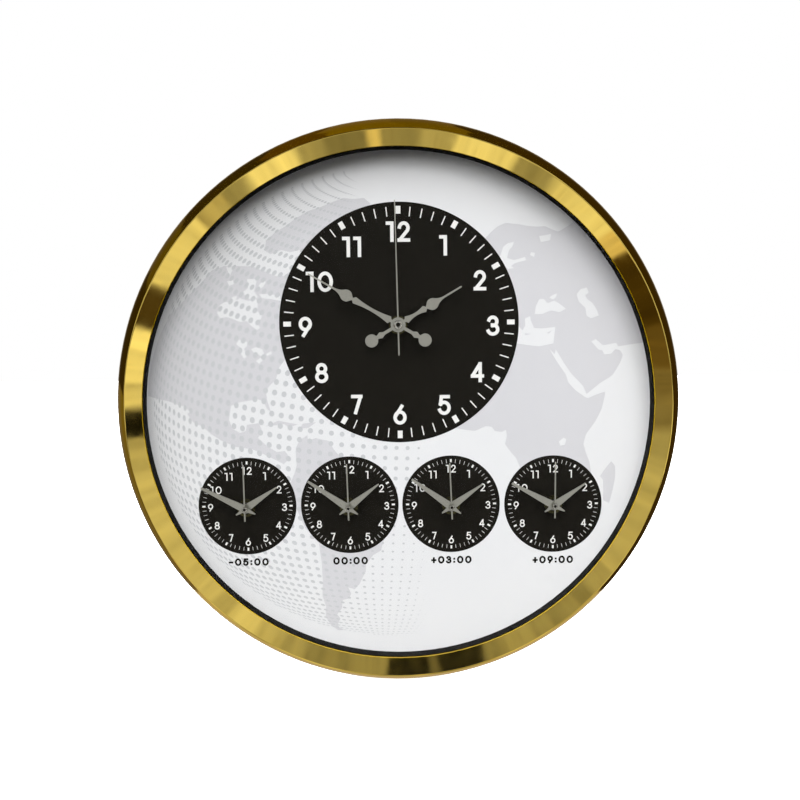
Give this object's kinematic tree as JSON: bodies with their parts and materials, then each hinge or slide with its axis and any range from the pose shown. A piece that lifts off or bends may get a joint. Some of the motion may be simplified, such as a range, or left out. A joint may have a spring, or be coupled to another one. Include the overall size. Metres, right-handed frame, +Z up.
{
  "type": "world time wall clock",
  "caption": "Round gold-rimmed wall clock with one large dial over a row of small dials for other time zones, each with its own turning hands.",
  "frame": {"origin": "on the clock's own axis, where it meets the wall plane at the back cover's rear face", "axes": "+Z up, +X to the right as the dial is read, +Y into the wall; the dial faces -Y"},
  "size_m": [0.4, 0.046, 0.4],
  "materials": {
    "gold_case": "polished gold plating on moulded plastic",
    "clear_glass": "clear flat glass",
    "black_ring": "black, lightly satin",
    "printed_dial": "matt printed sheet",
    "fibreboard": "plain fibreboard",
    "black_cover": "fine grained moulding",
    "zinc_steel": "zinc plated",
    "brass": "turned brass",
    "rubber": "matt",
    "nickel_strip": "nickel plated spring strip",
    "white_gear_plastic": "moulded acetal",
    "soft_iron": "plain lamination",
    "copper_winding": "enamelled copper wire",
    "circuit_board": "green solder mask",
    "satin_hands": "satin",
    "battery_jacket": "plain printed jacket",
    "black_movement_plastic": "moulded, lightly satin"
  },
  "bodies": {
    "clock": {"case_ring": "gold_case", "front_glass": "clear_glass", "inner_ring": "black_ring", "dial_sheet": "printed_dial", "dial_board": "fibreboard", "back_cover": "black_cover", "hanger_plate": "zinc_steel", "hanger_screws": "zinc_steel", "cover_screws": "zinc_steel", "shaft_nuts": "brass", "shaft_washers": "brass", "rubber_washers": "rubber", "battery_contacts": "nickel_strip", "main_movement_case": "black_movement_plastic", "main_movement_cover": "black_movement_plastic", "main_battery": "battery_jacket", "main_train_plate": "white_gear_plastic", "main_stator": "soft_iron", "main_coil": "copper_winding", "main_circuit_board": "circuit_board", "zone_1_movement_case": "black_movement_plastic", "zone_1_movement_cover": "black_movement_plastic", "zone_1_battery": "battery_jacket", "zone_2_movement_case": "black_movement_plastic", "zone_2_movement_cover": "black_movement_plastic", "zone_2_battery": "battery_jacket", "zone_3_movement_case": "black_movement_plastic", "zone_3_movement_cover": "black_movement_plastic", "zone_3_battery": "battery_jacket", "zone_4_movement_case": "black_movement_plastic", "zone_4_movement_cover": "black_movement_plastic", "zone_4_battery": "battery_jacket"},
    "main_minute": {"main_minute_hand": "satin_hands", "main_cannon_pinion": "brass"},
    "main_hour": {"main_hour_hand": "satin_hands", "main_hour_wheel": "brass"},
    "main_setting": {"main_minute_wheel": "white_gear_plastic", "main_setting_knob": "black_movement_plastic"},
    "main_second": {"main_second_hand": "satin_hands", "main_second_wheel": "white_gear_plastic"},
    "main_centre": {"main_centre_wheel": "white_gear_plastic"},
    "main_third": {"main_third_wheel": "white_gear_plastic"},
    "main_intermediate": {"main_intermediate_wheel": "white_gear_plastic"},
    "main_rotor_shaft": {"main_rotor": "soft_iron"},
    "zone_1_minute": {"zone_1_minute_hand": "satin_hands"},
    "zone_1_hour": {"zone_1_hour_hand": "satin_hands"},
    "zone_1_second": {"zone_1_second_hand": "satin_hands"},
    "zone_1_setting": {"zone_1_setting_knob": "black_movement_plastic"},
    "zone_2_minute": {"zone_2_minute_hand": "satin_hands"},
    "zone_2_hour": {"zone_2_hour_hand": "satin_hands"},
    "zone_2_second": {"zone_2_second_hand": "satin_hands"},
    "zone_2_setting": {"zone_2_setting_knob": "black_movement_plastic"},
    "zone_3_minute": {"zone_3_minute_hand": "satin_hands"},
    "zone_3_hour": {"zone_3_hour_hand": "satin_hands"},
    "zone_3_second": {"zone_3_second_hand": "satin_hands"},
    "zone_3_setting": {"zone_3_setting_knob": "black_movement_plastic"},
    "zone_4_minute": {"zone_4_minute_hand": "satin_hands"},
    "zone_4_hour": {"zone_4_hour_hand": "satin_hands"},
    "zone_4_second": {"zone_4_second_hand": "satin_hands"},
    "zone_4_setting": {"zone_4_setting_knob": "black_movement_plastic"}
  },
  "joints": [
    {"name": "main_minute_turn", "type": "hinge", "parent": "clock", "child": "main_minute", "pos_m": [0, 0, 0.05592], "axis": [0, 1, 0], "continuous": true},
    {"name": "main_second_turn", "type": "hinge", "parent": "clock", "child": "main_second", "pos_m": [0, 0, 0.05592], "axis": [0, 1, 0], "continuous": true},
    {"name": "main_hour_turn", "type": "hinge", "parent": "clock", "child": "main_hour", "pos_m": [0, 0, 0.05592], "axis": [0, 1, 0], "continuous": true},
    {"name": "main_setting_turn", "type": "hinge", "parent": "clock", "child": "main_setting", "pos_m": [-0.01128, 0, 0.06002], "axis": [0, 1, 0], "continuous": true},
    {"name": "main_centre_turn", "type": "hinge", "parent": "clock", "child": "main_centre", "pos_m": [0, 0, 0.05592], "axis": [0, 1, 0], "continuous": true},
    {"name": "main_third_turn", "type": "hinge", "parent": "clock", "child": "main_third", "pos_m": [0.00772, 0, 0.0624], "axis": [0, 1, 0], "continuous": true},
    {"name": "main_intermediate_turn", "type": "hinge", "parent": "clock", "child": "main_intermediate", "pos_m": [-0.00426, 0, 0.06506], "axis": [0, 1, 0], "continuous": true},
    {"name": "main_rotor_turn", "type": "hinge", "parent": "clock", "child": "main_rotor_shaft", "pos_m": [-0.00066, 0, 0.07129], "axis": [0, 1, 0], "continuous": true},
    {"name": "zone_1_minute_turn", "type": "hinge", "parent": "clock", "child": "zone_1_minute", "pos_m": [-0.10781, 0, -0.07082], "axis": [0, 1, 0], "continuous": true},
    {"name": "zone_1_second_turn", "type": "hinge", "parent": "clock", "child": "zone_1_second", "pos_m": [-0.10781, 0, -0.07082], "axis": [0, 1, 0], "continuous": true},
    {"name": "zone_1_hour_turn", "type": "hinge", "parent": "clock", "child": "zone_1_hour", "pos_m": [-0.10781, 0, -0.07082], "axis": [0, 1, 0], "continuous": true},
    {"name": "zone_1_setting_turn", "type": "hinge", "parent": "clock", "child": "zone_1_setting", "pos_m": [-0.11909, 0, -0.06672], "axis": [0, 1, 0], "continuous": true},
    {"name": "zone_2_minute_turn", "type": "hinge", "parent": "clock", "child": "zone_2_minute", "pos_m": [-0.03594, 0, -0.07082], "axis": [0, 1, 0], "continuous": true},
    {"name": "zone_2_second_turn", "type": "hinge", "parent": "clock", "child": "zone_2_second", "pos_m": [-0.03594, 0, -0.07082], "axis": [0, 1, 0], "continuous": true},
    {"name": "zone_2_hour_turn", "type": "hinge", "parent": "clock", "child": "zone_2_hour", "pos_m": [-0.03594, 0, -0.07082], "axis": [0, 1, 0], "continuous": true},
    {"name": "zone_2_setting_turn", "type": "hinge", "parent": "clock", "child": "zone_2_setting", "pos_m": [-0.04721, 0, -0.06672], "axis": [0, 1, 0], "continuous": true},
    {"name": "zone_3_minute_turn", "type": "hinge", "parent": "clock", "child": "zone_3_minute", "pos_m": [0.03594, 0, -0.07082], "axis": [0, 1, 0], "continuous": true},
    {"name": "zone_3_second_turn", "type": "hinge", "parent": "clock", "child": "zone_3_second", "pos_m": [0.03594, 0, -0.07082], "axis": [0, 1, 0], "continuous": true},
    {"name": "zone_3_hour_turn", "type": "hinge", "parent": "clock", "child": "zone_3_hour", "pos_m": [0.03594, 0, -0.07082], "axis": [0, 1, 0], "continuous": true},
    {"name": "zone_3_setting_turn", "type": "hinge", "parent": "clock", "child": "zone_3_setting", "pos_m": [0.02466, 0, -0.06672], "axis": [0, 1, 0], "continuous": true},
    {"name": "zone_4_minute_turn", "type": "hinge", "parent": "clock", "child": "zone_4_minute", "pos_m": [0.10781, 0, -0.07082], "axis": [0, 1, 0], "continuous": true},
    {"name": "zone_4_second_turn", "type": "hinge", "parent": "clock", "child": "zone_4_second", "pos_m": [0.10781, 0, -0.07082], "axis": [0, 1, 0], "continuous": true},
    {"name": "zone_4_hour_turn", "type": "hinge", "parent": "clock", "child": "zone_4_hour", "pos_m": [0.10781, 0, -0.07082], "axis": [0, 1, 0], "continuous": true},
    {"name": "zone_4_setting_turn", "type": "hinge", "parent": "clock", "child": "zone_4_setting", "pos_m": [0.09653, 0, -0.06672], "axis": [0, 1, 0], "continuous": true}
  ],
  "couplings": [
    {"joint": "main_hour_turn", "follows": "main_minute_turn", "ratio": 0.083333},
    {"joint": "main_setting_turn", "follows": "main_minute_turn", "ratio": -0.33333},
    {"joint": "main_centre_turn", "follows": "main_second_turn", "ratio": 0.016667},
    {"joint": "main_third_turn", "follows": "main_second_turn", "ratio": -0.13333},
    {"joint": "main_intermediate_turn", "follows": "main_second_turn", "ratio": -6},
    {"joint": "main_rotor_turn", "follows": "main_second_turn", "ratio": 30},
    {"joint": "zone_1_hour_turn", "follows": "zone_1_minute_turn", "ratio": 0.083333},
    {"joint": "zone_1_setting_turn", "follows": "zone_1_minute_turn", "ratio": -0.33333},
    {"joint": "zone_2_hour_turn", "follows": "zone_2_minute_turn", "ratio": 0.083333},
    {"joint": "zone_2_setting_turn", "follows": "zone_2_minute_turn", "ratio": -0.33333},
    {"joint": "zone_3_hour_turn", "follows": "zone_3_minute_turn", "ratio": 0.083333},
    {"joint": "zone_3_setting_turn", "follows": "zone_3_minute_turn", "ratio": -0.33333},
    {"joint": "zone_4_hour_turn", "follows": "zone_4_minute_turn", "ratio": 0.083333},
    {"joint": "zone_4_setting_turn", "follows": "zone_4_minute_turn", "ratio": -0.33333}
  ]
}
